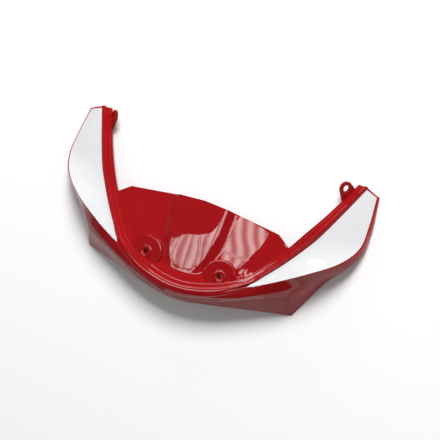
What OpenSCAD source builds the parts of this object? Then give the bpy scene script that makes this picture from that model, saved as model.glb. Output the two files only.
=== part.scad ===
// Motorcycle cowl: a one-piece moulded shell with a nose, two swept arms and a raised deck between them.
// It lies on its two jaw corners and the ends of its arms. Millimetres, +Z up, arms towards +Y.

/* [Overall] */
// Width across the two wings
overall_w = 354; // [270:2:440]
// Depth from the nose to the ends of the arms
overall_d = 176; // [140:2:220]
// Height of the ridge above the floor
overall_h = 39; // [30:1:52]
// Wall of the moulding
wall = 2.4; // [1.8:0.1:3.2]

/* [Rim] */
// Height of each of the two steps inside the rim
step_rise = 1.1; // [0.6:0.1:1.6]
// Height of the bead over the line between its two edges
bead_rise = 3.2; // [2:0.1:4.5]
// Crown of the painted side panel over its flat
panel_crown = 1.2; // [0:0.1:2.5]

/* [Deck] */
// Height of the centre plateau over the side fields at the back edge
plateau_rise = 6.5; // [3:0.5:8]
// Crown of the plateau between its two edges
plateau_crown = 0.7; // [0:0.1:1.5]
// Width of the rounded crease between deck and side strip
crease_w = 5; // [3:0.5:7]

/* [Screw bosses] */
// Distance between the two screw bosses
boss_gap = 87.6; // [80:0.2:96]
// Distance of the screw bosses from the nose
boss_back = 38.5; // [37:0.5:41]
// Radius of the round boss platform
boss_r = 18; // [14:0.5:20]
// Height of the boss platform over the front of the deck
boss_rise = 2.1; // [1:0.1:3]
// Height of the round wall under the platform's edge
boss_wall_h = 9; // [7:0.5:12]
// How far the platform laps into the rim beside it
rim_lap = 3.5; // [2:0.5:5]
// Radius of the raised ring round the screw hole
ring_r = 6.5; // [5.5:0.1:8]
// Height of that ring
ring_rise = 0.8; // [0.4:0.1:1.5]
// Length of the screw tube under the platform
tube_l = 9; // [5:0.5:12]
// Outer radius of the screw tube
tube_r = 5.6; // [4.5:0.1:7]
// Diameter of the screw hole
screw_d = 5.2; // [4.2:0.1:6.4]

/* [Ears] */
// Thickness of the ear
ear_t = 2.8; // [2:0.1:4]
// Radius of the ear round its hole
ear_r = 7.4; // [6.5:0.1:9]
// Distance from the arm's inner edge up the ear to its hole
ear_reach = 8.5; // [7:0.5:11]
// Lean of the ear from level
ear_lean = 48; // [40:1:60]
// Length of the ear's root along the arm in front of its hole
ear_front = 13; // [10:0.5:18]
// Length of the ear's root along the arm behind its hole
ear_rear = 7; // [5:0.5:9]
// Depth that the ear's root is sunk into the arm's edge
ear_sink = 1.5; // [1:0.1:2]
// Diameter of the hole in the ear
ear_hole_d = 6.6; // [5.5:0.1:8]
// Distance of the ear's foot from the back end
ear_back = 12; // [10:0.1:16]

/* [Locating nibs] */
// Width of the nib at the end of the bead
nib_w = 4; // [3:0.5:6]
// Length of the nib past the end of the arm
nib_l = 1; // [0.5:0.1:2]

/* [Hidden] */
red = "#b3121d";
$fn = 48;

// The styling model is 354 wide, 176 deep and 39 high, and the guide points are placed on it.
styling = [354, 176, 39];
overall = [overall_w, overall_d, overall_h];
function sized(points) = [for (p = points) [for (k = [0:2]) p[k] * overall[k] / styling[k]]];

// The five guide lines of the rim, from the middle of the nose to the end of the right arm.
// Points 2, 3 and 5 are the white tip, the jaw corner and the place where deck and arm part.
inner_edge = sized([
    [0, 24, 31.5], [33, 30, 31.2], [60.5, 41.5, 30.2], [76, 55, 28.2], [89, 71.5, 24.5],
    [102, 90, 19.5], [113.5, 109, 18], [129, 136.5, 11.7], [148, 176, 2.4]]);
bead_foot = sized([
    [0, 11.5, 35.5], [42.5, 20, 35.5], [76.5, 39.5, 34], [91, 56, 28.5], [104, 72.5, 24.5],
    [117, 91.5, 20.5], [128.5, 110, 17.5], [142.5, 138.5, 12.5], [159, 174.7, 5]]);
ridge = sized([
    [0, 7, 34.5], [43.5, 15.5, 35], [79.5, 37.5, 35.2], [106, 52.5, 39], [134.5, 70, 38.3],
    [161, 90.5, 27], [174, 112, 15.5], [174.5, 137.5, 9.8], [171, 169.5, 4]]);
crease = sized([
    [0, 3, 30.5], [44.5, 12, 31], [85, 30.5, 32], [116.5, 47.5, 31], [144, 68, 22],
    [167.5, 89.5, 13], [176.5, 112, 7], [176.8, 137.5, 4.5], [173, 169.5, 2]]);
hem = sized([
    [0, 0, 26], [44.5, 7, 25.5], [90, 16.5, 10.5], [123, 23, 0], [146.5, 65.5, 4],
    [165.5, 89, 4], [177, 114.5, 0.5], [176.5, 137.5, 0], [172.5, 169.5, 0]]);
guides = [inner_edge, bead_foot, ridge, crease, hem];
hem_line = len(guides) - 1;
jaw = 3;
junction = 5;
last_point = len(hem) - 1;
near = 0.2;

// The deck's guide lines, from the foot of the riser to the back edge, each with its station on the rim.
// The plateau's edge stands over its foot by a share of the full rise, and its middle over the edge by
// a share of the crown.
plateau_foot = sized([
    [27, 33, 28.7], [30.5, 51.5, 25.5], [35, 70, 23.8], [35.2, 88, 22.5], [35.5, 106.5, 21]]);
edge_plan = sized([[11, 30.5, 0], [22, 50, 0], [27, 69.3, 0], [28.7, 88.5, 0], [29, 107.7, 0]]);
middle_plan = sized([[0, 29.5, 0], [0, 49.5, 0], [0, 69.5, 0], [0, 89.5, 0], [0, 109.5, 0]]);
rise_share = [0.12, 0.62, 0.85, 0.95, 1];
crown_share = [0, 0.4, 1, 0.9, 0.7];
deck_points = [0:len(plateau_foot) - 1];
plateau_edge = [
    for (i = deck_points) edge_plan[i] + [0, 0, plateau_foot[i].z + plateau_rise * rise_share[i]]];
middle = [
    for (i = deck_points) middle_plan[i] + [0, 0, plateau_edge[i].z + plateau_crown * crown_share[i]]];
deck_crease = sized([
    [60.3, 46.8, 28.5], [65, 60, 27.5], [70.8, 73.5, 26], [77, 87, 23.5], [83, 100.5, 21]]);
crease_run = [0.9, -0.1, -0.02];
strip_crease = [for (p = deck_crease) p + crease_w * crease_run];
deck_lines = [middle, plateau_edge, plateau_foot, deck_crease, strip_crease];
deck_stations = [0, 0.32, 0.8, 1.85, 2];
deck_cells = [2, 2, 5, 1];
strip_cells = 3;
rows = 12;
arm_cells = 11;

// Smooth curve through guide points. A corner keeps its kink, and an even curve mirrors across the middle.
function spline(a, b, c, d, t) =
    (2 * b + (c - a) * t + (2 * a - 5 * b + 4 * c - d) * t ^ 2 + (3 * b - a - 3 * c + d) * t ^ 3) / 2;
function flipped(p) = [-p.x, p.y, p.z];
function before(g, i, corner, even) =
    i == 0 ? (even ? flipped(g[1]) : 2 * g[0] - g[1]) : i == corner ? 2 * g[i] - g[i + 1] : g[i - 1];
function after(g, i, corner) =
    i + 2 > len(g) - 1 || i + 1 == corner ? 2 * g[i + 1] - g[i] : g[i + 2];
function on_guide(g, t, corner = -1, even = false) =
    let (i = min(floor(t), len(g) - 2))
    spline(before(g, i, corner, even), g[i], g[i + 1], after(g, i, corner), t - i);
function mix(a, b, f) = a * (1 - f) + b * f;
function unit(v) = v / norm(v);

// The rim's section from the inner edge to the hem: guide line, share of the way to the next one,
// rise over the straight line, and how far the wall leans from straight down to level.
section = [
    [0, 0, 0, 0],
    [0, 0.22, 0.1, 0],
    [0, 0.28, step_rise, 0],
    [0, 0.60, step_rise + 0.3, 0],
    [0, 0.66, 2 * step_rise + 0.2, 0],
    [0, 0.76, bead_rise * 0.94, 0],
    [0, 0.86, bead_rise, 0],
    [0, 0.95, bead_rise * 0.6, 0],
    [1, 0, 0.2, 0],
    [1, 0.33, panel_crown, 0],
    [1, 0.67, panel_crown, 0],
    [1, 0.93, 0.3, 0.05],
    [2, 0.06, 0, 0.15],
    [2, 0.45, 0.9, 0.35],
    [2, 0.88, 0.5, 0.5],
    [3, 0.1, 0, 0.7],
    [3, 0.5, 0, 0.9],
    [4, 0, 0, 1]];
lines = len(section);

// A point of a rim guide line, kept inside the overall width and on or above the floor
function rim_guide(k, u) =
    let (p = on_guide(guides[k], u, k == hem_line ? jaw : -1, true))
    [min(p.x, overall_w / 2), p.y, max(p.z, 0)];
function rim_top(u, s) =
    let (low = rim_guide(s[0], u), high = rim_guide(min(s[0] + 1, hem_line), u))
    mix(low, high, s[1]) + [0, 0, s[2]];
// Level direction from the hem towards the inside
function inward(u) =
    let (ahead = rim_guide(hem_line, min(u + near, last_point)),
        behind = u < near ? flipped(rim_guide(hem_line, near - u)) : rim_guide(hem_line, u - near))
    unit([behind.y - ahead.y, ahead.x - behind.x, 0]);
// A point of the rim's underside, kept on or above the floor too
function rim_under(u, s) =
    let (p = rim_top(u, s) + wall * unit((1 - s[3]) * [0, 0, -1] + s[3] * inward(u)))
    [p.x, p.y, max(p.z, 0)];
function sided(p, side) = [side * p.x, p.y, p.z];

// Stations of the right half: one for each line of the deck, one for each row, and those along the arm
deck_columns = [for (k = [0:3]) for (c = [0:deck_cells[k] - 1]) [k, c / deck_cells[k]]];
front_stations = [for (c = deck_columns) mix(deck_stations[c[0]], deck_stations[c[0] + 1], c[1])];
row_stations = [for (r = [0:rows]) 2 + (junction - 2) * r / rows];
arm_stations = [for (k = [1:arm_cells]) junction + (last_point - junction) * k / arm_cells];
half = concat(front_stations, row_stations, arm_stations);
n_half = len(half);
n_front = len(front_stations);
// All stations from the left arm's end to the right arm's end, as [side, station]
stations = concat([for (i = [n_half - 1:-1:1]) [-1, half[i]]], [for (u = half) [1, u]]);
n = len(stations);
mid = n_half - 1;

// The deck's points, by row and by column from the left crease to the right one, and the strips beside them
half_columns = concat(deck_columns, [for (k = [0:strip_cells]) [len(deck_lines) - 1, k / strip_cells]]);
n_cols = len(half_columns);
strip = len(deck_lines) - 1;
function deck_half(r, c) =
    let (t = (len(middle) - 1) * (r - 1) / (rows - 1), k = half_columns[c][0], f = half_columns[c][1])
    k < strip
        ? mix(on_guide(deck_lines[k], t), on_guide(deck_lines[k + 1], t), f)
        : mix(on_guide(strip_crease, t), rim_guide(0, row_stations[r]), f);
function deck_point(r, c) = c < 0 ? flipped(deck_half(r, -c)) : deck_half(r, c);

// Numbers of the points in one list: the rim's upper points, the deck's upper points, then their undersides
deck_w = 2 * (n_cols - 2) + 1;
top_count = n * lines + rows * deck_w;
function rim_id(i, j) = i * lines + j;
function deck_id(r, c) =
    let (a = abs(c), side = sign(c))
    r == 0 ? rim_id(mid + side * min(a, n_front), 0)
    : a == n_cols - 1 ? rim_id(mid + side * (n_front + r), 0)
    : n * lines + (r - 1) * deck_w + c + n_cols - 2;
upper = concat(
    [for (s = stations) for (p = section) sided(rim_top(s[1], p), s[0])],
    [for (r = [1:rows]) for (c = [2 - n_cols:n_cols - 2]) deck_point(r, c)]);
lower = concat(
    [for (s = stations) for (p = section) sided(rim_under(s[1], p), s[0])],
    [for (r = [1:rows]) for (c = [2 - n_cols:n_cols - 2]) deck_point(r, c) - [0, 0, wall]]);

// Two triangles for a four-sided cell, split the other way on the left half so that the halves match
function cell(a, b, c, d, left) = left ? [[a, c, b], [a, d, c]] : [[a, d, b], [b, d, c]];
function real(t) = t[0] != t[1] && t[1] != t[2] && t[2] != t[0];
function under(t) = [t[2] + top_count, t[1] + top_count, t[0] + top_count];
upper_faces = [
    for (i = [0:n - 2]) for (j = [0:lines - 2])
        each cell(rim_id(i, j), rim_id(i, j + 1), rim_id(i + 1, j + 1), rim_id(i + 1, j), i < mid),
    for (r = [0:rows - 1]) for (c = [1 - n_cols:n_cols - 2])
        for (t = cell(deck_id(r + 1, c), deck_id(r, c), deck_id(r, c + 1), deck_id(r + 1, c + 1), c < 0))
            if (real(t)) t];
// The open border of the upper skin, as one loop
border = concat(
    [for (i = [0:n - 1]) rim_id(i, lines - 1)],
    [for (j = [lines - 2:-1:0]) rim_id(n - 1, j)],
    [for (i = [n - 2:-1:mid + n_front + rows]) rim_id(i, 0)],
    [for (c = [n_cols - 2:-1:2 - n_cols]) deck_id(rows, c)],
    [for (i = [mid - n_front - rows:-1:0]) rim_id(i, 0)],
    [for (j = [1:lines - 2]) rim_id(0, j)]);
border_faces = [
    for (k = [0:len(border) - 1])
        let (a = border[k], b = border[(k + 1) % len(border)])
            each [[a, b, a + top_count], [b, b + top_count, a + top_count]]];

// The moulded skin: rim, arms, jaws and deck in one closed shell
module skin() {
    polyhedron(
        points = concat(upper, lower),
        faces = concat(upper_faces, [for (t = upper_faces) under(t)], border_faces));
}

// Plan of the deck side of the rim, which keeps the boss platforms from reaching under the nose
boss_stations = [0.2:0.15:2.3];
module boss_zone() {
    front = [for (u = boss_stations) let (p = rim_guide(0, u)) [p.x, p.y - rim_lap]];
    back_y = boss_back + 2 * boss_r;
    linear_extrude(overall_h)
        polygon(concat(front, [[front[len(front) - 1].x, back_y], [front[0].x, back_y]]));
}

// The platform stands over the front of the deck, and its round wall reaches down through the deck
boss_top = middle[0].z + boss_rise;
boss_low = boss_top - boss_wall_h;
module boss_shell() {
    intersection() {
        translate([boss_gap / 2, boss_back, boss_low])
            cylinder(h = boss_top - boss_low, r = boss_r);
        boss_zone();
    }
    translate([boss_gap / 2, boss_back, boss_top - wall / 2])
        cylinder(h = wall / 2 + ring_rise, r = ring_r);
}

// The hollow under a boss platform
module boss_core() {
    translate([boss_gap / 2, boss_back, boss_low - overall_h])
        cylinder(h = boss_top - wall - boss_low + overall_h, r = boss_r - wall);
}

// The tube that the screw runs through
module boss_tube() {
    translate([boss_gap / 2, boss_back, boss_top - wall - tube_l])
        cylinder(h = tube_l + wall / 2, r = tube_r);
}

module boss_hole() {
    translate([boss_gap / 2, boss_back, -1])
        cylinder(h = overall_h + 2, d = screw_d);
}

// The ear stands on the arm's inner edge beside its hole, and its root follows that edge
ear_y = overall_d - ear_back;
end_stations = [last_point - 1:0.02:last_point];
edge_near_ear = [for (u = end_stations) rim_guide(0, u)];
ear_foot = [
    lookup(ear_y, [for (p = edge_near_ear) [p.y, p.x]]),
    ear_y,
    lookup(ear_y, [for (p = edge_near_ear) [p.y, p.z]])];
edge_run = rim_guide(0, last_point) - rim_guide(0, last_point - 1);
ear_heading = atan2(edge_run.x, edge_run.y);
ear_pitch = atan2(edge_run.z, norm([edge_run.x, edge_run.y]));
module at_ear() {
    translate(ear_foot - [0, 0, wall / 2])
        rotate([0, 0, -ear_heading])
            rotate([ear_pitch, 0, 0])
                rotate([0, ear_lean, 0])
                    translate([-ear_reach, 0, 0])
                        children();
}

// Outline of the ear: a round end with two straight flanks down to its root
function tangent_to(p, r, side) =
    let (d = norm(p), a = atan2(p.y, p.x), h = acos(r / d)) r * [cos(a + side * h), sin(a + side * h)];
module ear_plate() {
    root_x = ear_reach + ear_sink;
    front_root = [root_x, -ear_front];
    back_root = [root_x, ear_rear];
    translate([0, 0, -ear_t / 2])
        linear_extrude(ear_t) {
            circle(r = ear_r);
            polygon([
                [0, 0],
                tangent_to(front_root, ear_r, -1),
                front_root,
                back_root,
                tangent_to(back_root, ear_r, 1)]);
        }
}

module ear_hole() {
    translate([0, 0, -2 * ear_t])
        cylinder(h = 4 * ear_t, d = ear_hole_d);
}

// Small nib at the end of the bead, which finds its place in the next panel
module nib() {
    end = mix(inner_edge[last_point], bead_foot[last_point], 0.75);
    translate([end.x - nib_w / 2, end.y - nib_l, end.z - wall / 2])
        cube([nib_w, nib_l * 2, wall]);
}

module on_both_sides() {
    children();
    mirror([1, 0, 0]) children();
}

module cowl() {
    color(red)
        translate([0, -overall_d / 2, 0])
            difference() {
                union() {
                    difference() {
                        union() {
                            skin();
                            on_both_sides() boss_shell();
                        }
                        on_both_sides() boss_core();
                    }
                    on_both_sides() boss_tube();
                    on_both_sides() at_ear() ear_plate();
                    on_both_sides() nib();
                }
                on_both_sides() boss_hole();
                on_both_sides() at_ear() ear_hole();
            }
}

cowl();
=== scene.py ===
"""Looks of a one-piece motorcycle cowl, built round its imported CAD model.

The painted shell is drawn on the same guide lines as the CAD part, at a finer pitch and with the
soft edges of a moulding, and then painted: gloss red with a white field on each side panel.
Sizes in the classes are millimetres in the cowl's own frame, where the nose is at y = 0 and the arms
point towards +Y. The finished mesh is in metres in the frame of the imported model.
"""

import logging
import math
from collections.abc import Iterable
from dataclasses import dataclass, field
from enum import Enum

import bmesh
import bpy
from mathutils import Matrix, Vector


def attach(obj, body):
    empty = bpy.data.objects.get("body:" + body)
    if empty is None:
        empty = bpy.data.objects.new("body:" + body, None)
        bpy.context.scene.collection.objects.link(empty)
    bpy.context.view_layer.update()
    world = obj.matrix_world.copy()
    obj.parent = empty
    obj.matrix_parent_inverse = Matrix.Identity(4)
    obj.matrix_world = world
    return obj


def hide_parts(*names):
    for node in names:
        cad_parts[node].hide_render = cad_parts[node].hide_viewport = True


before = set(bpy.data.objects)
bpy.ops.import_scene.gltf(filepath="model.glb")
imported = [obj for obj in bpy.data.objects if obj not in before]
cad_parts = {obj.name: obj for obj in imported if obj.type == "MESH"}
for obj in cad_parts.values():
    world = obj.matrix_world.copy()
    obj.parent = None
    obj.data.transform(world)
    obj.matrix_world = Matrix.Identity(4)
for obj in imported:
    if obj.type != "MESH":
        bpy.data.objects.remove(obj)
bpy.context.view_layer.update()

log = logging.getLogger("cowl")

METRE = 0.001
MERGE = 1e-4
PANEL_MAP = "panel_map"
BODY = "root"
CAD_NODE = "cowl"

Point = tuple[float, float, float]
Colour = tuple[float, float, float]
Span = tuple[float, float]  # Two ends of a stretch, or a place seen from above.


class Finish(Enum):
    """Material slots of the shell, in their order on the mesh."""

    PAINT = 0
    UNDERSIDE = 1


def mix(a: Vector, b: Vector, share: float) -> Vector:
    """Returns the point at a share of the way from a to b."""
    return a.lerp(b, share)


def flipped(p: Vector) -> Vector:
    """Returns the point on the other side of the cowl's middle."""
    return Vector((-p.x, p.y, p.z))


def edges_of(verts: Iterable[bmesh.types.BMVert]) -> list[bmesh.types.BMEdge]:
    """Returns the edges at some vertices, each once and in an order that never changes."""
    return list(dict.fromkeys(e for v in verts for e in v.link_edges))


def faces_of(verts: Iterable[bmesh.types.BMVert]) -> list[bmesh.types.BMFace]:
    """Returns the faces at some vertices, each once and in an order that never changes."""
    return list(dict.fromkeys(f for v in verts for f in v.link_faces))


def placed(bm: bmesh.types.BMesh, name: str) -> bpy.types.Object:
    """Turns a finished mesh into an object of the scene.

    Args:
        bm: The mesh, which is freed.
        name: Name of the object.

    Returns:
        The object, at the origin and smooth.
    """
    for face in bm.faces:
        face.smooth = True
    mesh = bpy.data.meshes.new(name)
    bm.to_mesh(mesh)
    bm.free()
    thing = bpy.data.objects.new(name, mesh)
    bpy.context.scene.collection.objects.link(thing)
    return thing


@dataclass(frozen=True)
class Guide:
    """A smooth line through points, with at most one corner.

    Attributes:
        points: Points of the line, in millimetres.
        corner: Number of the point where the line keeps a kink, or -1.
        even: True where the line crosses the cowl's middle at its first point.
    """

    points: tuple[Point, ...]
    corner: int = -1
    even: bool = False

    def point(self, i: int) -> Vector:
        """Returns point i of the line."""
        return Vector(self.points[i])

    def before(self, i: int) -> Vector:
        """Returns the point that leads into point i.

        Args:
            i: Number of a point.

        Returns:
            The neighbour, or its mirror or straight continuation at an end or a corner.
        """
        if i == 0:
            return flipped(self.point(1)) if self.even else 2 * self.point(0) - self.point(1)
        if i == self.corner:
            return 2 * self.point(i) - self.point(i + 1)
        return self.point(i - 1)

    def after(self, i: int) -> Vector:
        """Returns the point that follows the stretch from point i to point i + 1."""
        if i + 2 > len(self.points) - 1 or i + 1 == self.corner:
            return 2 * self.point(i + 1) - self.point(i)
        return self.point(i + 2)

    def at(self, t: float) -> Vector:
        """Returns the place on the line at a station.

        Args:
            t: Station, where whole numbers are the points.

        Returns:
            The place, in millimetres.
        """
        i = min(int(math.floor(t)), len(self.points) - 2)
        a, b, c, d = self.before(i), self.point(i), self.point(i + 1), self.after(i)
        s = t - i
        return (
            2 * b
            + (c - a) * s
            + (2 * a - 5 * b + 4 * c - d) * s**2
            + (3 * b - a - 3 * c + d) * s**3
        ) / 2


@dataclass(frozen=True)
class SectionRow:
    """One row of the rim's section.

    Attributes:
        place: Guide line and share of the way to the next one, as one number.
        rise: Height over the straight line between the two guides.
        lean: 0 where the wall is measured straight down and 1 where it is measured level.
    """

    place: float
    rise: float
    lean: float = 0.0


@dataclass
class Rim:
    """The rim from the middle of the nose to the end of one arm: steps, bead, side panel and jaw.

    Attributes:
        crest: Greatest height of a guide line.
        near: Stretch on each side over which the hem's direction is measured, in stations.
        spread: Fine cells to each row of the section.
        nose_fill: Place and height of the filling at the nose, where the bead runs out.
        jaw: Guide line where the jaw starts.
        jaw_drop: Height of the jaw at which its rows stand out as far as the section says.
        fill_from: Station where the filling starts, on the way to the nose.
        fill_to: Station where it is complete.
    """

    width: float = 354.0
    crest: float = 38.75
    wall: float = 2.4
    last: int = 8
    near: float = 0.2
    spread: int = 2
    nose_fill: tuple[Span, ...] = (
        (0.7, 0.0), (0.76, -0.49), (0.82, -0.84), (0.88, -1.05), (0.94, -0.34), (0.975, 0.65),
        (1.0, 1.25), (1.03, 1.18), (1.15, 0.78), (1.33, 0.13), (1.67, -0.13), (1.85, 0.13), (1.93, 0.0),
    )
    jaw: int = 3
    jaw_drop: float = 26.0
    fill_from: float = 2.0
    fill_to: float = 1.1
    guides: tuple[Guide, ...] = (
        Guide(
            (
                (0, 24, 31.5), (33, 30, 31.2), (60.5, 41.5, 30.2), (76, 55, 28.2), (89, 71.5, 24.5),
                (102, 90, 19.5), (113.5, 109, 18), (129, 136.5, 11.7), (148, 176, 2.4),
            ),
            even=True,
        ),
        Guide(
            (
                (0, 11.5, 35.5), (42.5, 20, 35.5), (76.5, 39.5, 34), (91, 56, 28.5), (104, 72.5, 24.5),
                (117, 91.5, 20.5), (128.5, 110, 17.5), (142.5, 138.5, 12.5), (159, 174.7, 5),
            ),
            even=True,
        ),
        Guide(
            (
                (0, 7, 34.5), (43.5, 15.5, 35), (79.5, 37.5, 35.2), (106, 52.5, 39), (134.5, 70, 38.3),
                (161, 90.5, 27), (174, 112, 15.5), (174.5, 137.5, 9.8), (171, 169.5, 4),
            ),
            even=True,
        ),
        Guide(
            (
                (0, 3, 30.5), (44.5, 12, 31), (85, 30.5, 32), (116.5, 47.5, 31), (144, 68, 22),
                (167.5, 89.5, 13), (176.5, 112, 7), (176.8, 137.5, 4.5), (173, 169.5, 2),
            ),
            even=True,
        ),
        Guide(
            (
                (0, 0, 26), (44.5, 7, 25.5), (90, 16.5, 10.5), (123, 23, 0), (146.5, 65.5, 4),
                (165.5, 89, 4), (177, 114.5, 0.5), (176.5, 137.5, 0), (172.5, 169.5, 0),
            ),
            corner=3,
            even=True,
        ),
    )
    section: tuple[SectionRow, ...] = tuple(
        SectionRow(*row)
        for row in (
            (0.0, 0.0), (0.04, 0.02), (0.19, 0.08), (0.22, 0.1), (0.24, 0.55), (0.265, 0.85),
            (0.295, 1.06), (0.33, 1.15), (0.56, 1.36), (0.595, 1.4), (0.615, 1.88), (0.64, 2.2),
            (0.67, 2.45), (0.7, 2.64), (0.76, 3.0), (0.82, 3.18), (0.88, 3.18), (0.94, 2.2), (0.975, 1.0),
            (1.0, 0.2), (1.03, 0.25), (1.15, 0.62), (1.33, 1.2), (1.67, 1.2), (1.85, 0.62),
            (1.93, 0.3, 0.05), (2.0, 0.05, 0.1), (2.07, 0.1, 0.15), (2.25, 0.4, 0.22), (2.5, 0.7, 0.34),
            (2.75, 0.7, 0.46), (3.0, 0.6, 0.65), (3.12, 1.25, 0.7), (3.2, 1.7, 0.74), (3.255, 1.98, 0.77),
            (3.285, 2.0, 0.78), (3.36, 1.82, 0.8), (3.6, 1.15, 0.88), (3.85, 0.43, 0.96),
            (3.96, 0.1, 0.99), (4.0, 0.0, 1.0),
        )
    )

    def spans(self) -> int:
        """Returns the number of stretches between guide lines, which is also the hem's number."""
        return len(self.guides) - 1

    def guide_point(self, k: int, u: float) -> Vector:
        """Returns guide line k at station u, inside the overall width and height."""
        p = self.guides[k].at(u)
        return Vector((min(p.x, self.width / 2), p.y, min(max(p.z, 0.0), self.crest)))

    def inward(self, u: float) -> Vector:
        """Returns the level direction from the hem towards the inside.

        Args:
            u: Station along the rim.

        Returns:
            A level vector of length 1.
        """
        hem = self.spans()
        ahead = self.guide_point(hem, min(u + self.near, self.last))
        if u < self.near:
            behind = flipped(self.guide_point(hem, self.near - u))
        else:
            behind = self.guide_point(hem, u - self.near)
        return Vector((behind.y - ahead.y, ahead.x - behind.x, 0)).normalized()

    def fill(self, u: float, place: float) -> float:
        """Returns how far the groove at the bead's foot is filled, as the bead runs out at the nose.

        Args:
            u: Station along the rim.
            place: Guide line and share of a row.

        Returns:
            Extra height of the row.
        """
        if not self.nose_fill[0][0] <= place <= self.nose_fill[-1][0] or u >= self.fill_from:
            return 0.0
        share = min((self.fill_from - u) / (self.fill_from - self.fill_to), 1.0)
        eased = share**2 * (3 - 2 * share)
        for (a, low), (b, high) in zip(self.nose_fill, self.nose_fill[1:]):
            if place <= b:
                return eased * (low + (high - low) * (place - a) / (b - a))
        return 0.0

    def rows(self, u: float) -> list[tuple[Vector, Vector, float]]:
        """Works out the section's own rows at a station.

        Args:
            u: Station along the rim.

        Returns:
            For each row its place, the step to its underside, and its place number.
        """
        lines = [self.guide_point(k, u) for k in range(len(self.guides))]
        inward = self.inward(u)
        found = []
        for row in self.section:
            k = min(int(row.place), self.spans() - 1)
            rise = row.rise + self.fill(u, row.place)
            if row.place >= self.jaw:
                rise *= (lines[k].z - lines[k + 1].z) / self.jaw_drop
            top = mix(lines[k], lines[k + 1], row.place - k) + Vector((0, 0, rise))
            down = Vector((0, 0, row.lean - 1)) + row.lean * inward
            found.append((top, self.wall * down.normalized(), row.place))
        return found

    def cells(self) -> int:
        """Returns the number of cells across the section."""
        return self.spread * (len(self.section) + 1)

    def across(self, u: float) -> list[tuple[Vector, Vector, float]]:
        """Softens the section at a station with a smooth curve that starts and ends on its edges.

        Args:
            u: Station along the rim.

        Returns:
            For each fine row its place, the step to its underside, and its place number.
        """
        rows = self.rows(u)
        rows = [rows[0]] * 2 + rows + [rows[-1]] * 2
        found = []
        for i in range(self.cells() + 1):
            k = min(i // self.spread, len(rows) - 4)
            t = i / self.spread - k
            weights = (
                (1 - t) ** 3 / 6,
                (3 * t**3 - 6 * t**2 + 4) / 6,
                (-3 * t**3 + 3 * t**2 + 3 * t + 1) / 6,
                t**3 / 6,
            )
            parts = list(zip(weights, rows[k : k + 4]))
            found.append(
                (
                    sum((w * r[0] for w, r in parts), Vector()),
                    sum((w * r[1] for w, r in parts), Vector()),
                    sum(w * r[2] for w, r in parts),
                )
            )
        return found

    def edge(self, u: float) -> Vector:
        """Returns the rim's inner edge at a station."""
        return self.guide_point(0, u)


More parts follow.
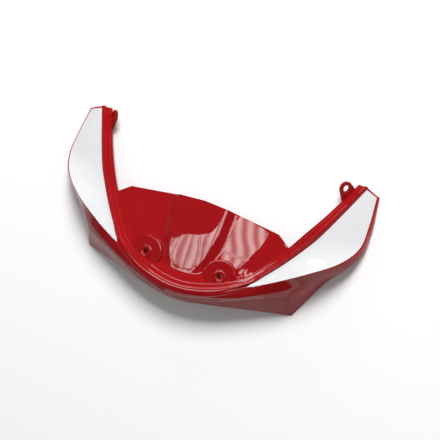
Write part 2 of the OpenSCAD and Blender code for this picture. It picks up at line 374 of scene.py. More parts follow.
@dataclass
class Deck:
    """The raised deck inside the rim, in rows from the nose and columns from the middle.

    Attributes:
        crease_run: Direction from the crease across the strip beside it.
        stations: Station of the rim where each line starts.
        cells: Cells from each line to the next.
        cad_rows: Rows in the CAD part.
        lines: Middle, fold, edge, foot, crease and strip, worked out from the sizes.
    """

    plateau_rise: float = 6.5
    plateau_crown: float = 0.7
    crease_w: float = 5.0
    crease_run: Point = (0.9, -0.1, -0.02)
    rise_share: tuple[float, ...] = (0.12, 0.62, 0.85, 0.95, 1)
    crown_share: tuple[float, ...] = (0, 0.4, 1, 0.9, 0.7)
    foot: tuple[Point, ...] = (
        (27, 33, 28.7), (30.5, 51.5, 25.5), (35, 70, 23.8), (35.2, 88, 22.5), (35.5, 106.5, 21),
    )
    edge_plan: tuple[Span, ...] = ((11, 30.5), (22, 50), (27, 69.3), (28.7, 88.5), (29, 107.7))
    fold_plan: tuple[Span, ...] = ((8, 30), (15.2, 49.7), (9.6, 69.4), (6.4, 89.3), (4.5, 109.2))
    fold_drop: float = 0.05
    middle_y: tuple[float, ...] = (29.5, 49.5, 69.5, 89.5, 109.5)
    crease: tuple[Point, ...] = (
        (60.3, 46.8, 28.5), (65, 60, 27.5), (70.8, 73.5, 26), (77, 87, 23.5), (83, 100.5, 21),
    )
    stations: tuple[float, ...] = (0, 0.22, 0.32, 0.8, 1.85, 2)
    cells: tuple[int, ...] = (8, 8, 8, 30, 6)
    strip_cells: int = 12
    cad_rows: int = 12
    row_cells: int = 6
    first_station: float = 2.0
    last_station: float = 5.0
    lines: list[Guide] = field(init=False)

    def __post_init__(self) -> None:
        """Works out the deck's six lines from its sizes."""
        edge = [
            (x, y, f[2] + self.plateau_rise * share)
            for (x, y), f, share in zip(self.edge_plan, self.foot, self.rise_share)
        ]
        middle = [
            (0, y, e[2] + self.plateau_crown * share)
            for y, e, share in zip(self.middle_y, edge, self.crown_share)
        ]
        fold = [(x, y, m[2] - self.fold_drop) for (x, y), m in zip(self.fold_plan, middle)]
        run = Vector(self.crease_run) * self.crease_w
        strip = [tuple(Vector(p) + run) for p in self.crease]
        self.lines = [Guide(tuple(p)) for p in (middle, fold, edge, self.foot, self.crease, strip)]

    def columns(self) -> int:
        """Returns the number of cells from the middle to the rim."""
        return sum(self.cells) + self.strip_cells

    def rows(self) -> int:
        """Returns the number of cells from the nose to the back edge."""
        return self.cad_rows * self.row_cells

    def column_place(self, c: int) -> float:
        """Turns a column number into a line number with the share of the way to the next line.

        Args:
            c: Column, counted from the middle.

        Returns:
            Line number and share as one number.
        """
        for k, count in enumerate(self.cells + (self.strip_cells,)):
            if c <= count:
                return k + c / count
            c -= count
        return float(len(self.lines))

    def front_station(self, place: float) -> float:
        """Returns the rim's station where a column starts."""
        if place >= len(self.stations) - 1:
            return self.first_station
        k = int(place)
        return self.stations[k] + (self.stations[k + 1] - self.stations[k]) * (place - k)

    def side_station(self, row: float) -> float:
        """Returns the rim's station where a row ends."""
        return self.first_station + (self.last_station - self.first_station) * row / self.cad_rows

    def at(self, rim: Rim, row: float, place: float) -> Vector:
        """Returns a point of the deck.

        Args:
            rim: The rim round the deck.
            row: Row in the CAD part's rows, from 0 at the nose.
            place: Line number and share of the way to the next line.

        Returns:
            The point, in millimetres.
        """
        ahead = max(row, 1.0)
        t = (len(self.middle_y) - 1) * (ahead - 1) / (self.cad_rows - 1)
        k = min(int(place), len(self.lines) - 1)
        here = self.lines[k].at(t)
        if k == len(self.lines) - 1:
            if row < 1:
                here = mix(rim.edge(self.first_station), here, row)
            return mix(here, rim.edge(self.side_station(row)), place - k)
        here = mix(here, self.lines[k + 1].at(t), place - k)
        return here if row >= 1 else mix(rim.edge(self.front_station(place)), here, row)


@dataclass
class Boss:
    """A round screw boss: platform, raised ring, screw tube and the wall under the platform.

    Attributes:
        lap: How far the boss runs in under the rim's inner edge.
        support: Width of the flat rows that keep the roundings crisp.
        cut_stations: Two stations of the rim, between which the boss is cut off.
        hidden_r: Radius inside which the skin makes room for the boss.
        hidden_share: Width of the rim's border that makes room too, in guide lines.
    """

    gap: float = 87.6
    back: float = 38.5
    radius: float = 18.0
    rise: float = 2.1
    wall_h: float = 9.0
    lap: float = 3.5
    ring_r: float = 6.5
    ring_rise: float = 0.8
    tube_l: float = 9.0
    tube_r: float = 5.6
    screw_d: float = 5.2
    edge_round: float = 1.4
    lean: float = 3.4
    ring_round: float = 0.5
    support: float = 0.3
    steps: int = 96
    cut_stations: Span = (1.0, 1.9)
    hidden_r: float = 17.4
    hidden_share: float = 0.12

    def centre(self) -> Vector:
        """Returns the boss's place in plan, on the right side."""
        return Vector((self.gap / 2, self.back, 0))

    def hides(self, p: Vector) -> bool:
        """Returns True for a point of the skin that the boss covers."""
        return (Vector((p.x, p.y, 0)) - self.centre()).length < self.hidden_r

    def profile(self, top: float, wall: float) -> list[tuple[float, float]]:
        """Lays out the boss's half section.

        Args:
            top: Height of the platform.
            wall: Wall of the moulding.

        Returns:
            Radius and height of each corner, round the section once.
        """
        low = top - self.wall_h
        under = top - wall
        ring_top = top + self.ring_rise
        hole = self.screw_d / 2
        tube_end = under - self.tube_l
        e, g, flat = self.edge_round, self.ring_round, self.support
        corner = [math.radians(a) for a in (90, 67.5, 45, 22.5, 0)]
        line = [(hole, tube_end), (hole, ring_top - g / 2), (hole + g / 2, ring_top)]
        line += [(self.ring_r - g + g * math.cos(a), ring_top - g + g * math.sin(a)) for a in corner]
        line += [(self.ring_r + flat / 3, top + flat / 3)]
        line += [(r, top) for r in (self.ring_r + flat, self.ring_r + 2 * flat, self.radius - e - flat)]
        line += [(self.radius - e + e * math.cos(a), top - e + e * math.sin(a)) for a in corner]
        line += [(self.radius, low), (self.radius - wall, low), (self.radius - wall, under)]
        line += [(self.tube_r, under), (self.tube_r, tube_end)]
        return line

    def build(self, bm: bmesh.types.BMesh, rim: Rim, top: float) -> None:
        """Spins the boss and trims it where it meets the rim.

        Args:
            bm: Mesh that the boss is added to.
            rim: The rim beside the boss.
            top: Height of the platform.
        """
        verts = [bm.verts.new((r, 0, z)) for r, z in self.profile(top, rim.wall)]
        edges = [bm.edges.new((a, b)) for a, b in zip(verts, verts[1:] + verts[:1])]
        old = set(bm.verts) - set(verts)
        bmesh.ops.spin(
            bm, geom=verts + edges, cent=(0, 0, 0), axis=(0, 0, 1), angle=math.tau,
            steps=self.steps, use_merge=True, use_duplicate=False,
        )
        made = [v for v in bm.verts if v not in old]
        lean = Matrix.Rotation(math.radians(self.lean), 3, "X")
        bmesh.ops.rotate(bm, verts=made, cent=(0, 0, top), matrix=lean)
        bmesh.ops.translate(bm, verts=made, vec=self.centre())
        start, end = (rim.edge(u) - Vector((0, self.lap, 0)) for u in self.cut_stations)
        along = end - start
        outward = Vector((along.y, -along.x, 0)).normalized()
        cut = bmesh.ops.bisect_plane(
            bm, geom=made + edges_of(made) + faces_of(made), dist=MERGE,
            plane_co=start, plane_no=outward, clear_outer=True,
        )["geom_cut"]
        rims = [e for e in cut if isinstance(e, bmesh.types.BMEdge) and e.is_boundary]
        bmesh.ops.holes_fill(bm, edges=rims, sides=0)


@dataclass
class Ear:
    """A lug with a clearance hole, which stands on the inner edge of an arm near its end."""

    thick: float = 2.8
    radius: float = 7.4
    reach: float = 8.5
    lean: float = 48.0
    front: float = 13.0
    rear: float = 7.0
    sink: float = 1.5
    hole_d: float = 6.6
    foot_y: float = 164.0
    steps: int = 64
    edge_round: float = 0.45
    sharp: float = 1.0
    halvings: int = 40

    def place(self, rim: Rim) -> Matrix:
        """Works out where the ear stands.

        Args:
            rim: The rim that it stands on.

        Returns:
            The matrix from the ear's own frame, centred on its hole, to the cowl's.
        """
        low, high = rim.last - 1.0, float(rim.last)
        for _ in range(self.halvings):
            half = (low + high) / 2
            low, high = (half, high) if rim.edge(half).y < self.foot_y else (low, half)
        run = rim.edge(rim.last) - rim.edge(rim.last - 1)
        heading = math.atan2(run.x, run.y)
        pitch = math.atan2(run.z, math.hypot(run.x, run.y))
        return (
            Matrix.Translation(rim.edge(low) - Vector((0, 0, rim.wall / 2)))
            @ Matrix.Rotation(-heading, 4, "Z")
            @ Matrix.Rotation(pitch, 4, "X")
            @ Matrix.Rotation(math.radians(self.lean), 4, "Y")
            @ Matrix.Translation((-self.reach, 0, 0))
        )

    def outline(self, angle: float) -> Vector:
        """Returns the ear's outline in the direction of an angle.

        Args:
            angle: Angle round the hole, in radians, where 0 points at the root.

        Returns:
            The outline's point, on the round end, a flank or the root.
        """
        root_x = self.reach + self.sink
        corners = (Vector((root_x, -self.front)), Vector((root_x, self.rear)))
        ray = Vector((math.cos(angle), math.sin(angle)))
        best = self.radius
        for corner, side in zip(corners, (-1, 1)):
            turn = math.atan2(corner.y, corner.x) + side * math.acos(self.radius / corner.length)
            touch = self.radius * Vector((math.cos(turn), math.sin(turn)))
            best = max(best, self.hit(ray, corner, touch))
        best = max(best, self.hit(ray, *corners))
        return (ray * best).to_3d()

    @staticmethod
    def hit(ray: Vector, a: Vector, b: Vector) -> float:
        """Returns how far along a ray from the hole the stretch from a to b lies, or 0."""
        side = b - a
        turn = ray.x * side.y - ray.y * side.x
        if abs(turn) < MERGE:
            return 0.0
        share = (ray.y * a.x - ray.x * a.y) / turn
        far = (a.x * side.y - a.y * side.x) / turn
        return far if 0 <= share <= 1 and far > 0 else 0.0

    def build(self, bm: bmesh.types.BMesh, rim: Rim) -> None:
        """Makes the ear as a plate with a hole and rounds its edges.

        Args:
            bm: Mesh that the ear is added to.
            rim: The rim that it stands on.
        """
        outer = bmesh.ops.create_circle(bm, segments=self.steps, radius=self.radius)["verts"]
        for v in outer:
            v.co = self.outline(math.atan2(v.co.y, v.co.x))
        inner = bmesh.ops.create_circle(bm, segments=self.steps, radius=self.hole_d / 2)["verts"]
        faces = bmesh.ops.bridge_loops(bm, edges=edges_of(outer + inner))["faces"]
        grown = bmesh.ops.extrude_face_region(bm, geom=faces)["geom"]
        raised = [v for v in grown if isinstance(v, bmesh.types.BMVert)]
        bmesh.ops.translate(bm, verts=raised, vec=(0, 0, self.thick))
        made = raised + outer + inner
        bmesh.ops.translate(bm, verts=made, vec=(0, 0, -self.thick / 2))
        sharp = [e for e in edges_of(made) if e.calc_face_angle(0) > self.sharp]
        rounded = bmesh.ops.bevel(
            bm, geom=sharp, offset=self.edge_round, offset_type="OFFSET", segments=2, profile=0.5,
            affect="EDGES", material=-1,
        )["verts"]
        kept = [v for v in dict.fromkeys(made + rounded) if v.is_valid]
        bmesh.ops.transform(bm, matrix=self.place(rim), verts=kept)


@dataclass
class Nib:
    """The small locating nib at the end of the bead."""

    width: float = 4.0
    length: float = 1.0
    share: float = 0.75
    edge_round: float = 0.35

    def build(self, bm: bmesh.types.BMesh, rim: Rim) -> None:
        """Makes the nib as a small block with rounded edges.

        Args:
            bm: Mesh that the nib is added to.
            rim: The rim that it stands on.
        """
        place = mix(rim.edge(rim.last), rim.guide_point(1, rim.last), self.share)
        size = Matrix.Diagonal((self.width, 2 * self.length, rim.wall, 1))
        verts = bmesh.ops.create_cube(bm, size=1, matrix=Matrix.Translation(place) @ size)["verts"]
        bmesh.ops.bevel(
            bm, geom=edges_of(verts), offset=self.edge_round, offset_type="OFFSET", segments=2, profile=0.5,
            affect="EDGES", material=-1,
        )


@dataclass
class Shell:
    """The one-piece moulding: rim and deck in one skin, with its bosses, ears and nibs.

    Attributes:
        soften: Number of times that the deck's creases are softened.
        unpainted: Place on the panel map that stays red.
    """

    rim: Rim = field(default_factory=Rim)
    deck: Deck = field(default_factory=Deck)
    boss: Boss = field(default_factory=Boss)
    ear: Ear = field(default_factory=Ear)
    nib: Nib = field(default_factory=Nib)
    depth: float = 176.0
    arm_cells: int = 52
    soften: int = 3
    unpainted: Span = (0.5, -0.1)
    sharp: float = 50.0

    def stations(self) -> list[float]:
        """Lists the rim's stations from the middle of the nose to the end of the arm.

        Returns:
            One station for each deck column and row, and those along the arm.
        """
        deck = self.deck
        front = [deck.front_station(deck.column_place(c)) for c in range(sum(deck.cells))]
        side = [deck.side_station(r / deck.row_cells) for r in range(deck.rows() + 1)]
        step = (self.rim.last - deck.last_station) / self.arm_cells
        arm = [deck.last_station + step * (k + 1) for k in range(self.arm_cells)]
        return front + side + arm

    @staticmethod
    def grid(bm: bmesh.types.BMesh, columns: int, rows: int) -> dict[bmesh.types.BMVert, tuple[int, int]]:
        """Starts a flat grid and numbers its vertices.

        Args:
            bm: Mesh that the grid is added to.
            columns: Cells across the grid.
            rows: Cells up the grid.

        Returns:
            Column and row of each vertex.
        """
        verts = bmesh.ops.create_grid(bm, x_segments=columns, y_segments=rows, size=1)["verts"]
        return {v: (round((v.co.x + 1) / 2 * columns), round((v.co.y + 1) / 2 * rows)) for v in verts}

    def add_rim(self, bm: bmesh.types.BMesh) -> None:
        """Shapes a grid into the upper skin of the rim and maps its panels.

        Args:
            bm: Mesh that the rim is added to.
        """
        stations = self.stations()
        wall = bm.verts.layers.float_vector["wall"]
        uv = bm.loops.layers.uv[PANEL_MAP]
        spots = self.grid(bm, len(stations) - 1, self.rim.cells())
        sections = [self.rim.across(u) for u in stations]
        for v, (i, j) in spots.items():
            v.co, v[wall], _ = sections[i][j]
        for face in faces_of(spots):
            for loop in face.loops:
                i, j = spots[loop.vert]
                loop[uv].uv = (stations[i] / self.rim.last, sections[i][j][2] / self.rim.spans())
        self.open_under_boss(bm, [f for f in bm.faces if self.share_of(f, uv) < self.boss.hidden_share])

    def share_of(self, face: bmesh.types.BMFace, uv: bmesh.types.BMLayerItem) -> float:
        """Returns how far a face of the rim lies from its inner edge, in guide lines."""
        return max(loop[uv].uv.y for loop in face.loops) * self.rim.spans()

    def add_deck(self, bm: bmesh.types.BMesh) -> None:
        """Shapes a grid into the upper skin of the deck and softens its creases.

        Args:
            bm: Mesh that the deck is added to.
        """
        wall = bm.verts.layers.float_vector["wall"]
        uv = bm.loops.layers.uv[PANEL_MAP]
        spots = self.grid(bm, self.deck.columns(), self.deck.rows())
        places = [self.deck.column_place(c) for c in range(self.deck.columns() + 1)]
        for v, (i, j) in spots.items():
            v.co = self.deck.at(self.rim, j / self.deck.row_cells, places[i])
            v[wall] = Vector((0, 0, -self.rim.wall))
        faces = faces_of(spots)
        for face in faces:
            for loop in face.loops:
                loop[uv].uv = self.unpainted
        inside = [v for v in spots if not v.is_boundary]
        for _ in range(self.soften):
            bmesh.ops.smooth_vert(
                bm, verts=inside, factor=0.5, use_axis_x=True, use_axis_y=True, use_axis_z=True
            )
        self.open_under_boss(bm, faces)

    def open_under_boss(self, bm: bmesh.types.BMesh, faces: list[bmesh.types.BMFace]) -> None:
        """Takes away the faces that the boss stands in place of."""
        covered = [f for f in faces if all(self.boss.hides(v.co) for v in f.verts)]
        bmesh.ops.delete(bm, geom=covered, context="FACES")

    def add_underside(self, bm: bmesh.types.BMesh) -> None:
        """Gives the skin its wall: the underside, and the edge all round.

        Args:
            bm: Mesh that holds the upper skin of the right half.
        """
        wall = bm.verts.layers.float_vector["wall"]
        border = [e for e in bm.edges if e.is_boundary and any(v.co.x > MERGE for v in e.verts)]
        copied = bmesh.ops.duplicate(bm, geom=bm.verts[:] + bm.edges[:] + bm.faces[:])["geom"]
        under = [g for g in copied if isinstance(g, bmesh.types.BMVert)]
        faces = [g for g in copied if isinstance(g, bmesh.types.BMFace)]
        edge = bmesh.ops.extrude_edge_only(bm, edges=border)["geom"]
        under += [g for g in edge if isinstance(g, bmesh.types.BMVert)]
        for v in under:
            v.co += v[wall]
            v.co.z = max(v.co.z, 0.0)
        bmesh.ops.reverse_faces(bm, faces=faces)
        for face in faces:
            face.material_index = Finish.UNDERSIDE.value
        bmesh.ops.remove_doubles(bm, verts=bm.verts[:], dist=MERGE)

    def build(self) -> bpy.types.Object:
        """Makes the whole shell as one mesh object in metres.

        Returns:
            The object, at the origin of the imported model's frame.
        """
        bm = bmesh.new()
        bm.verts.layers.float_vector.new("wall")
        bm.loops.layers.uv.new(PANEL_MAP)
        self.add_rim(bm)
        self.add_deck(bm)
        bmesh.ops.remove_doubles(bm, verts=bm.verts[:], dist=MERGE)
        self.add_underside(bm)
        top = self.deck.lines[0].point(0).z + self.boss.rise
        self.boss.build(bm, self.rim, top)
        self.ear.build(bm, self.rim)
        self.nib.build(bm, self.rim)
        bmesh.ops.mirror(bm, geom=bm.verts[:] + bm.edges[:] + bm.faces[:], axis="X", merge_dist=MERGE)
        bmesh.ops.recalc_face_normals(bm, faces=bm.faces[:])
        bmesh.ops.translate(bm, verts=bm.verts[:], vec=(0, -self.depth / 2, 0))
        bmesh.ops.scale(bm, verts=bm.verts[:], vec=(METRE,) * 3)
        bm.verts.layers.float_vector.remove(bm.verts.layers.float_vector["wall"])
        shell = placed(bm, "cowl_shell")
        shell.data.set_sharp_from_angle(angle=math.radians(self.sharp))
        return shell


class Nodes:
    """A material's node tree, with short calls to add and join its nodes."""

    def __init__(self, name: str) -> None:
        """Starts an empty material.

        Args:
            name: Name of the material.
        """
        self.material = bpy.data.materials.new(name)
        self.material.use_nodes = True
        self.tree = self.material.node_tree
        self.tree.nodes.clear()

    def add(self, kind: str, settings: dict[str, object] | None = None, **inputs: object) -> bpy.types.Node:
        """Adds a node and fills its inputs.

        Args:
            kind: Blender's type name of the node, without its leading ShaderNode.
            settings: Values for the node's own settings.
            inputs: Value, or socket to join, for each input; underscores stand for blanks.

        Returns:
            The node.
        """
        node = self.tree.nodes.new("ShaderNode" + kind)
        for name, value in (settings or {}).items():
            setattr(node, name, value)
        for name, value in inputs.items():
            self.put(node, name.replace("_", " "), value)
        return node

    def put(self, node: bpy.types.Node, name: str, value: object) -> None:
        """Sets or joins one input of a node.

        Args:
            node: The node.
            name: The input's name, or its number as a word.
            value: Value, or socket to join.
        """
        socket = node.inputs[int(name)] if name.isdigit() else node.inputs[name]
        if isinstance(value, bpy.types.NodeSocket):
            self.tree.links.new(value, socket)
        else:
            socket.default_value = value

    def maths(self, what: str, a: object, b: object = 0.0) -> bpy.types.NodeSocket:
        """Adds a Math node.

        Args:
            what: Name of the operation.
            a: First value or socket.
            b: Second value or socket.

        Returns:
            The result.
        """
        node = self.add("Math", {"operation": what})
        self.put(node, "0", a)
        self.put(node, "1", b)
        return node.outputs[0]

    def ramp(self, value: bpy.types.NodeSocket, limits: Span, results: Span) -> bpy.types.NodeSocket:
        """Maps a value that lies between two limits onto the way between two results.

        Args:
            value: The value.
            limits: Values that give the first and the last result.
            results: First and last result.

        Returns:
            The result, kept between the two.
        """
        (low, high), (start, end) = limits, results
        node = self.add("MapRange", Value=value, From_Min=low, From_Max=high, To_Min=start, To_Max=end)
        return node.outputs["Result"]

    def blend(self, factor: object, a: object, b: object) -> bpy.types.NodeSocket:
        """Adds a colour mix.

        Args:
            factor: Share of b.
            a: First colour.
            b: Second colour.

        Returns:
            The mixed colour.
        """
        node = self.add("Mix", {"data_type": "RGBA"})
        for number, value in ((0, factor), (6, a), (7, b)):
            self.put(node, str(number), value)
        return node.outputs[2]

    def noise(self, scale: float, detail: float = 2.0, roughness: float = 0.5) -> bpy.types.NodeSocket:
        """Adds noise on the object's own coordinates.

        Args:
            scale: Waves in a metre.
            detail: Number of finer layers.
            roughness: Strength of the finer layers.

        Returns:
            The noise, about 0.5.
        """
        place = self.add("TexCoord").outputs["Object"]
        node = self.add("TexNoise", Vector=place, Scale=scale, Detail=detail, Roughness=roughness)
        return node.outputs["Fac"]

    def end(self, shader: bpy.types.NodeSocket) -> bpy.types.Material:
        """Joins the shader to the output and returns the material."""
        self.add("OutputMaterial", Surface=shader)
        return self.material


def rgba(colour: Colour) -> tuple[float, float, float, float]:
    """Returns a colour with a full alpha."""
    return (*colour, 1.0)


@dataclass(frozen=True)
class GlossPaint:
    """Gloss red paint under clear lacquer, with a white field on each side panel.

    Attributes:
        map_size: Stations and guide lines that the panel map spans.
        panel: Guide line in the middle of the side panel, between the bead's foot and the ridge.
        tip: Stations where a field's pointed tip starts and where the field has its full width.
        half_width: Half of its width, in guide lines.
    """

    red: Colour = (0.365, 0.0065, 0.009)
    deep_red: Colour = (0.335, 0.005, 0.007)
    white: Colour = (0.73, 0.735, 0.75)
    map_size: Span = (8.0, 4.0)
    panel: float = 1.5
    tip: Span = (1.96, 2.12)
    end: float = 7.95
    half_width: float = 0.475
    shade_scale: float = 14.0
    shade_limits: Span = (0.35, 0.65)
    roughness: Span = (0.28, 0.36)
    polish_scale: float = 60.0
    polish_limits: Span = (0.3, 0.7)
    lacquer_roughness: float = 0.03
    lacquer_ior: float = 1.4
    peel_scale: float = 330.0
    peel_height: float = 0.00003
    peel_strength: float = 0.25

    def field_mask(self, nodes: Nodes) -> bpy.types.NodeSocket:
        """Returns 1 on the white field, between the bead's foot and the ridge, and 0 elsewhere."""
        place = nodes.add("UVMap", {"uv_map": PANEL_MAP}).outputs["UV"]
        split = nodes.add("SeparateXYZ", Vector=place)
        station = nodes.maths("MULTIPLY", split.outputs["X"], self.map_size[0])
        across = nodes.maths("MULTIPLY_ADD", split.outputs["Y"], self.map_size[1])
        nodes.put(across.node, "2", -self.panel)
        off_middle = nodes.maths("ABSOLUTE", across)
        half = nodes.ramp(station, self.tip, (0.0, self.half_width))
        inside = nodes.maths("LESS_THAN", off_middle, half)
        short = nodes.maths("LESS_THAN", station, self.end)
        return nodes.maths("MULTIPLY", inside, short)

    def material(self) -> bpy.types.Material:
        """Builds the paint's material."""
        nodes = Nodes("gloss_paint")
        shade = nodes.ramp(nodes.noise(self.shade_scale, 3.0), self.shade_limits, (0.0, 1.0))
        red = nodes.blend(shade, rgba(self.red), rgba(self.deep_red))
        colour = nodes.blend(self.field_mask(nodes), red, rgba(self.white))
        rough = nodes.ramp(nodes.noise(self.polish_scale, 4.0), self.polish_limits, self.roughness)
        waves = nodes.noise(self.peel_scale, 1.0)
        peel = nodes.add("Bump", Strength=self.peel_strength, Distance=self.peel_height, Height=waves)
        shader = nodes.add(
            "BsdfPrincipled", Base_Color=colour, Roughness=rough, Coat_Weight=1.0,
            Coat_Roughness=self.lacquer_roughness, Coat_IOR=self.lacquer_ior,
            Coat_Normal=peel.outputs["Normal"], Specular_IOR_Level=0.0,
        )
        return nodes.end(shader.outputs["BSDF"])


@dataclass(frozen=True)
class Overspray:
    """The unlacquered underside: fine-grained plastic under a thin coat of the same red."""

    red: Colour = (0.26, 0.006, 0.01)
    bare: Colour = (0.12, 0.006, 0.008)
    thin_scale: float = 22.0
    thin_limits: Span = (0.4, 0.7)
    thin_most: float = 0.7
    roughness: Span = (0.42, 0.6)
    rough_scale: float = 80.0
    rough_limits: Span = (0.3, 0.7)
    grain_scale: float = 900.0
    grain_height: float = 0.00006
    grain_strength: float = 0.3

    def material(self) -> bpy.types.Material:
        """Builds the underside's material."""
        nodes = Nodes("satin_overspray")
        thin = nodes.ramp(nodes.noise(self.thin_scale, 5.0, 0.6), self.thin_limits, (0.0, self.thin_most))
        colour = nodes.blend(thin, rgba(self.red), rgba(self.bare))
        rough = nodes.ramp(nodes.noise(self.rough_scale, 3.0), self.rough_limits, self.roughness)
        pits = nodes.noise(self.grain_scale, 2.0)
        grain = nodes.add("Bump", Strength=self.grain_strength, Distance=self.grain_height, Height=pits)
        shader = nodes.add(
            "BsdfPrincipled", Base_Color=colour, Roughness=rough, Normal=grain.outputs["Normal"]
        )
        return nodes.end(shader.outputs["BSDF"])


@dataclass(frozen=True)
class Lamp:
    """One square lamp that faces the cowl.

    Attributes:
        name: The lamp's name.
        place: Its middle, in metres.
        size: Length of a side, in metres.
        level: Brightness of a white surface that faces it at the cowl, where 1 is white.
        in_gloss: True where the gloss of the paint shows it.
    """

    name: str
    place: Point
    size: float
    level: float
    in_gloss: bool = False

    def build(self) -> None:
        """Adds the lamp to the scene."""
        place = Vector(self.place)
        data = bpy.data.lights.new(self.name, "AREA")
        data.shape = "SQUARE"
        data.size = self.size
        data.energy = math.pi**2 * place.length_squared * self.level
        lamp = bpy.data.objects.new(self.name, data)
        lamp.location = place
        lamp.rotation_euler = (-place).to_track_quat("-Z", "Y").to_euler()
        lamp.visible_glossy = self.in_gloss
        bpy.context.scene.collection.objects.link(lamp)


def level_sheet(outline: tuple[Span, ...], height: float) -> tuple[Point, ...]:
    """Returns the corners of a level sheet with the given outline, seen from above."""
    return tuple((x, y, height) for x, y in outline)


def upright_board(across: Span, y: float, heights: Span) -> tuple[Point, ...]:
    """Returns the corners of an upright board whose front looks towards -Y."""
    (left, right), (low, high) = across, heights
    return (left, y, low), (right, y, low), (right, y, high), (left, y, high)


@dataclass(frozen=True)
class Bank:
    """A bank of light tubes or a plain bright board, which only the gloss of the paint shows.

    Attributes:
        name: The bank's name.
        corners: Its corners, in metres.
        level: Brightness along a tube, where 1 is white.
        dip: Share of that brightness between two tubes.
        pitch: Distance between two tubes across the cowl, in metres.
        shift: Place of the dark side of a tube, in metres.
        one_side: True where only the bank's front glows and its back lets the view through.
    """

    name: str
    corners: tuple[Point, ...]
    level: float
    dip: float = 1.0
    pitch: float = 0.0136
    shift: float = 0.0
    one_side: bool = False

    def build(self) -> None:
        """Hangs the bank."""
        bm = bmesh.new()
        bmesh.ops.contextual_create(bm, geom=[bm.verts.new(p) for p in self.corners])
        bank = placed(bm, self.name)
        bank.data.materials.append(self.material())
        bank.visible_camera = bank.visible_diffuse = bank.visible_shadow = False

    def material(self) -> bpy.types.Material:
        """Builds the glow, brighter along each tube than between two."""
        nodes = Nodes(self.name + "_glow")
        split = nodes.add("SeparateXYZ", Vector=nodes.add("TexCoord").outputs["Object"])
        away = nodes.maths("SUBTRACT", split.outputs["X"], self.shift)
        turn = nodes.maths("MULTIPLY", away, math.tau / self.pitch)
        wave = nodes.maths("SINE", turn)
        level = nodes.ramp(wave, (-1.0, 1.0), (self.level * self.dip, self.level))
        glow = nodes.add("Emission", Color=rgba((1, 1, 1)), Strength=level).outputs[0]
        if self.one_side:
            clear = nodes.add("BsdfTransparent").outputs[0]
            behind = nodes.add("NewGeometry").outputs["Backfacing"]
            both = nodes.add("MixShader", Fac=behind)
            nodes.put(both, "1", glow)
            nodes.put(both, "2", clear)
            glow = both.outputs[0]
        return nodes.end(glow)


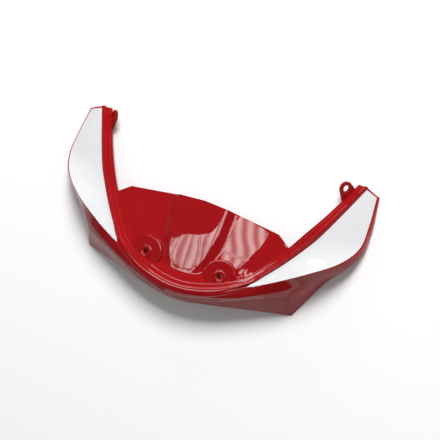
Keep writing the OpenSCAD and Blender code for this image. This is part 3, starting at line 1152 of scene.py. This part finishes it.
@dataclass
class Studio:
    """Plain pale floor that curves up all round, soft lamps, and the camera.

    Attributes:
        floor_glow: Level added to what the eye and the gloss see of the floor.
        photo_angle: Turn of the camera about the cowl's long axis and its roll, in degrees.
        aim: The camera's place from the origin, to its right, up and back, in millimetres.
        origin: Point on the nose from which the camera's place is measured, in millimetres.
    """

    floor_colour: Colour = (0.97, 0.97, 0.97)
    floor_glow: float = 0.07
    floor_r: float = 5.0
    bend_r: float = 2.0
    wall_top: float = 2.1
    world_level: float = 0.1
    lamps: tuple[Lamp, ...] = (
        Lamp("back_key", (0.1, 2.2, 2.35), 1.3, 1.13),
        Lamp("left_fill", (-1.6, -0.1, 1.3), 1.2, 0.06),
        Lamp("right_fill", (1.5, -0.2, 1.4), 1.2, 0.06),
        Lamp("rim_glint", (-1.3, 2.5, 1.03), 0.5, 0.05, True),
    )
    banks: tuple[Bank, ...] = (
        Bank(
            "tubes_middle",
            level_sheet(
                (
                    (-0.292, -0.045), (-0.29, -0.1), (-0.19, -0.104), (-0.135, -0.096), (-0.1, -0.06),
                    (-0.06, -0.02), (-0.035, 0.012), (-0.08, 0.018), (-0.13, 0.022), (-0.2, -0.006),
                    (-0.262, -0.028),
                ),
                0.6,
            ),
            level=13.0,
            dip=0.28,
            pitch=0.0215,
            shift=-0.2129,
        ),
        Bank(
            "tubes_right",
            level_sheet(
                (
                    (-0.004, -0.013), (0.003, -0.02), (0.028, -0.022), (0.031, -0.005), (0.05, 0.028),
                    (0.056, 0.037), (0.018, 0.033), (0.001, -0.002),
                ),
                0.1,
            ),
            level=13.0,
            dip=0.28,
            pitch=0.0145,
            shift=-0.0006,
        ),
        Bank("strip_right", level_sheet(((0.1, 0.02), (0.4, 0.02), (0.4, 0.3), (0.1, 0.3)), 1.6), level=9.0),
        Bank("strip_steps", upright_board((-0.035, 0.062), -0.02, (0.036, 0.05)), level=8.0, one_side=True),
        Bank("strip_low", upright_board((-0.15, 0.16), -0.4, (0.002, 0.15)), level=2.4),
        Bank("strip_end", upright_board((0.16, 0.42), -0.4, (0.002, 0.13)), level=1.6),
    )
    photo_angle: Span = (18.5, 18.385)
    lens: float = 98.18
    sensor: float = 36.0
    clip: Span = (0.05, 50.0)
    aim: Point = (51.73, 80.92, 1272.0)
    origin: Point = (0.0, -86.09, 31.8)

    def build_floor(self) -> None:
        """Spins the floor and its upturned edge."""
        bm = bmesh.new()
        bend = [math.radians(a) for a in range(0, 91, 10)]
        line = [(0.0, 0.0), (self.floor_r, 0.0)]
        line += [
            (self.floor_r + self.bend_r * math.sin(a), self.bend_r * (1 - math.cos(a))) for a in bend[1:]
        ]
        line.append((self.floor_r + self.bend_r, self.wall_top))
        verts = [bm.verts.new((r, 0, z)) for r, z in line]
        edges = [bm.edges.new(pair) for pair in zip(verts, verts[1:])]
        bmesh.ops.spin(
            bm, geom=verts + edges, cent=(0, 0, 0), axis=(0, 0, 1), angle=math.tau, steps=96,
            use_merge=True, use_duplicate=False,
        )
        bmesh.ops.remove_doubles(bm, verts=bm.verts[:], dist=MERGE)
        bmesh.ops.recalc_face_normals(bm, faces=bm.faces[:])
        if sum(f.normal.z for f in bm.faces) < 0:
            bmesh.ops.reverse_faces(bm, faces=bm.faces[:])
        floor = placed(bm, "floor")
        floor.data.materials.append(self.floor_material())

    def floor_material(self) -> bpy.types.Material:
        """Builds the floor's pale finish, a little brighter for what the eye and the gloss see."""
        nodes = Nodes("pale_floor")
        path = nodes.add("LightPath")
        seen = nodes.maths("MAXIMUM", path.outputs["Is Camera Ray"], path.outputs["Is Glossy Ray"])
        seen = nodes.maths("MAXIMUM", seen, path.outputs["Is Transmission Ray"])
        level = nodes.maths("MULTIPLY", seen, self.floor_glow)
        glow = nodes.add("Emission", Color=rgba((1, 1, 1)), Strength=level)
        matt = nodes.add("BsdfDiffuse", Color=rgba(self.floor_colour))
        both = nodes.add("AddShader")
        nodes.put(both, "0", matt.outputs[0])
        nodes.put(both, "1", glow.outputs[0])
        return nodes.end(both.outputs[0])

    def build_light(self) -> None:
        """Adds the world's soft level, the lamps and the banks."""
        world = bpy.data.worlds.new("studio")
        world.use_nodes = True
        back = world.node_tree.nodes["Background"]
        back.inputs["Color"].default_value = rgba((1, 1, 1))
        back.inputs["Strength"].default_value = self.world_level
        bpy.context.scene.world = world
        for lamp in self.lamps:
            lamp.build()
        for bank in self.banks:
            bank.build()

    def build_camera(self) -> None:
        """Places the camera at the photograph's angle."""
        turn, roll = (math.radians(a) for a in self.photo_angle)
        back = Vector((math.sin(turn), 0, math.cos(turn)))
        level = Vector((math.cos(turn), 0, -math.sin(turn)))
        deep = Vector((0, 1, 0))
        right = math.cos(roll) * level + math.sin(roll) * deep
        up = math.cos(roll) * deep - math.sin(roll) * level
        right_mm, up_mm, back_mm = self.aim
        place = Vector(self.origin) + right_mm * right + up_mm * up + back_mm * back
        data = bpy.data.cameras.new("camera")
        data.lens = self.lens
        data.sensor_width = self.sensor
        data.clip_start, data.clip_end = self.clip
        camera = bpy.data.objects.new("camera", data)
        turned = Matrix((right, up, back)).transposed().to_4x4()
        camera.matrix_world = Matrix.Translation(place * METRE) @ turned
        bpy.context.scene.collection.objects.link(camera)
        bpy.context.scene.camera = camera
        bpy.context.scene.view_settings.view_transform = "Standard"

    def build(self) -> None:
        """Sets up the floor, the light and the camera."""
        self.build_floor()
        self.build_light()
        self.build_camera()


def main() -> None:
    """Builds the cowl, dresses it and sets up the studio."""
    logging.basicConfig(level=logging.INFO)
    shell = Shell().build()
    finishes = {Finish.PAINT: GlossPaint(), Finish.UNDERSIDE: Overspray()}
    for slot in Finish:
        shell.data.materials.append(finishes[slot].material())
    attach(shell, BODY)
    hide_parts(CAD_NODE)
    log.info("%s: %d faces", shell.name, len(shell.data.polygons))
    Studio().build()


if __name__ == "__main__":
    main()
